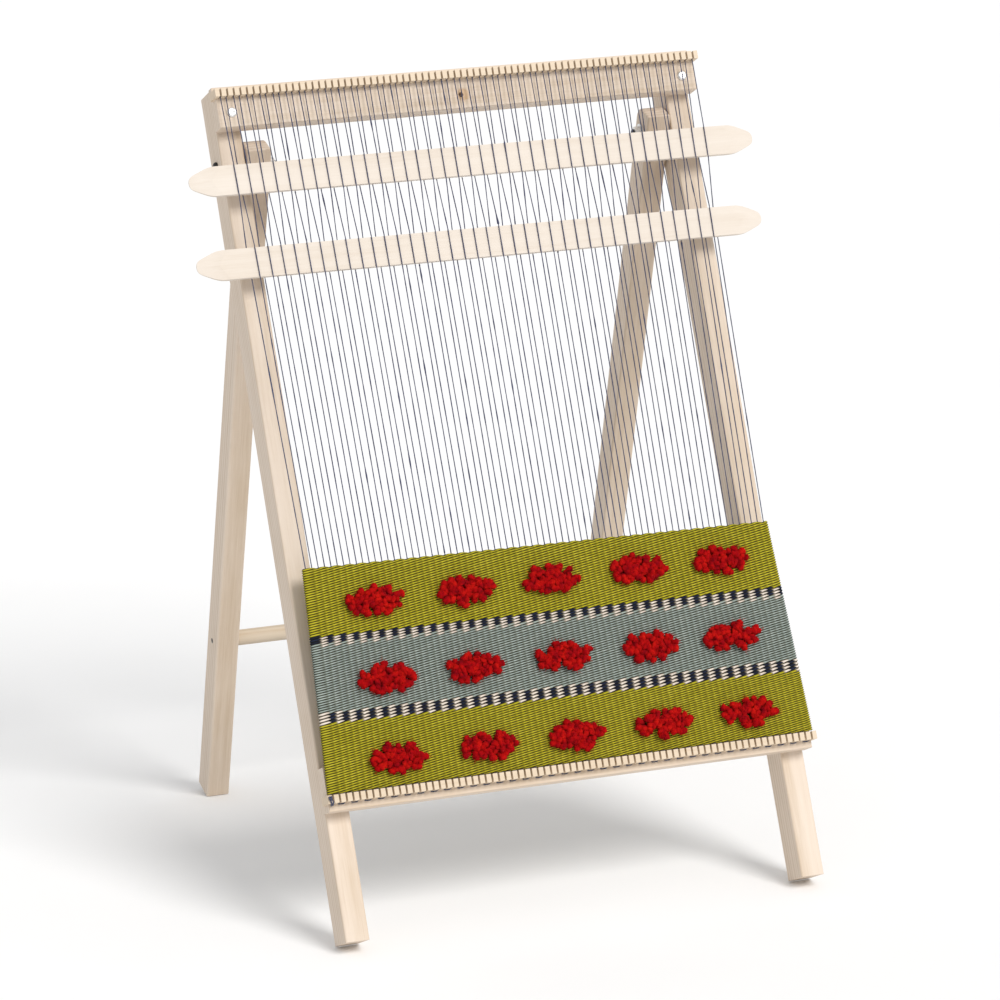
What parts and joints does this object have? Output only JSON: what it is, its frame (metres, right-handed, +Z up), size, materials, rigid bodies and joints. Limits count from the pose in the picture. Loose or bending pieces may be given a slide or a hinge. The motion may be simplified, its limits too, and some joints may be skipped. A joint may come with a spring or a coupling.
{
  "type": "tapestry loom",
  "caption": "Free-standing wooden tapestry loom: leaning frame with toothed combs, hinged rear legs, shed sticks, warp and partly woven cloth with pile tufts.",
  "frame": {"origin": "on the floor, under the middle of the whole stand as it stands open", "axes": "+Z up, +Y from the weaver through the loom to its back, +X along the bars to the weaver's right"},
  "size_m": [0.5884, 0.5508, 0.7767],
  "materials": {
    "frame_wood": "planed, unvarnished light softwood",
    "comb_wood": "sawn light plywood strip",
    "stick_wood": "sanded pale lath",
    "bright_screws": "bright zinc",
    "dark_metal": "black satin",
    "warp_thread": "twisted navy thread",
    "green_weft": "olive wool weft",
    "striped_weft": "navy and white wool weft in alternate picks",
    "grey_weft": "grey-blue wool weft",
    "red_pile": "fluffy cut wool pile"
  },
  "bodies": {
    "front_frame": {"left_stile": "frame_wood", "right_stile": "frame_wood", "top_bar": "frame_wood", "bottom_bar": "frame_wood", "top_comb": "comb_wood", "bottom_comb": "comb_wood", "top_bar_screws": "bright_screws", "bottom_bar_screws": "bright_screws", "pivot_bolts": "dark_metal", "spacer_washers": "bright_screws", "nut_washers": "bright_screws", "pivot_nuts": "bright_screws", "warp": "warp_thread", "warp_knot": "warp_thread", "lower_green_band": "green_weft", "lower_striped_band": "striped_weft", "grey_band": "grey_weft", "upper_striped_band": "striped_weft", "upper_green_band": "green_weft", "lower_tufts": "red_pile", "middle_tufts": "red_pile", "upper_tufts": "red_pile"},
    "rear_frame": {"left_rear_leg": "frame_wood", "right_rear_leg": "frame_wood", "rear_rail": "frame_wood", "rail_screws": "dark_metal"},
    "upper_stick": {"upper_shed_stick": "stick_wood"},
    "lower_stick": {"lower_shed_stick": "stick_wood"}
  },
  "joints": [
    {"name": "rear_leg_fold", "type": "hinge", "parent": "front_frame", "child": "rear_frame", "pos_m": [0, 0.0513, 0.69679], "axis": [-1, 0, 0], "range_deg": [-15, 41]},
    {"name": "upper_stick_slide", "type": "slide", "parent": "front_frame", "child": "upper_stick", "axis": [1, -0.0019, -0.0043], "range_m": [-0.24, 0.24]},
    {"name": "lower_stick_slide", "type": "slide", "parent": "front_frame", "child": "lower_stick", "axis": [1, -0.0016, -0.0037], "range_m": [-0.24, 0.24]}
  ]
}
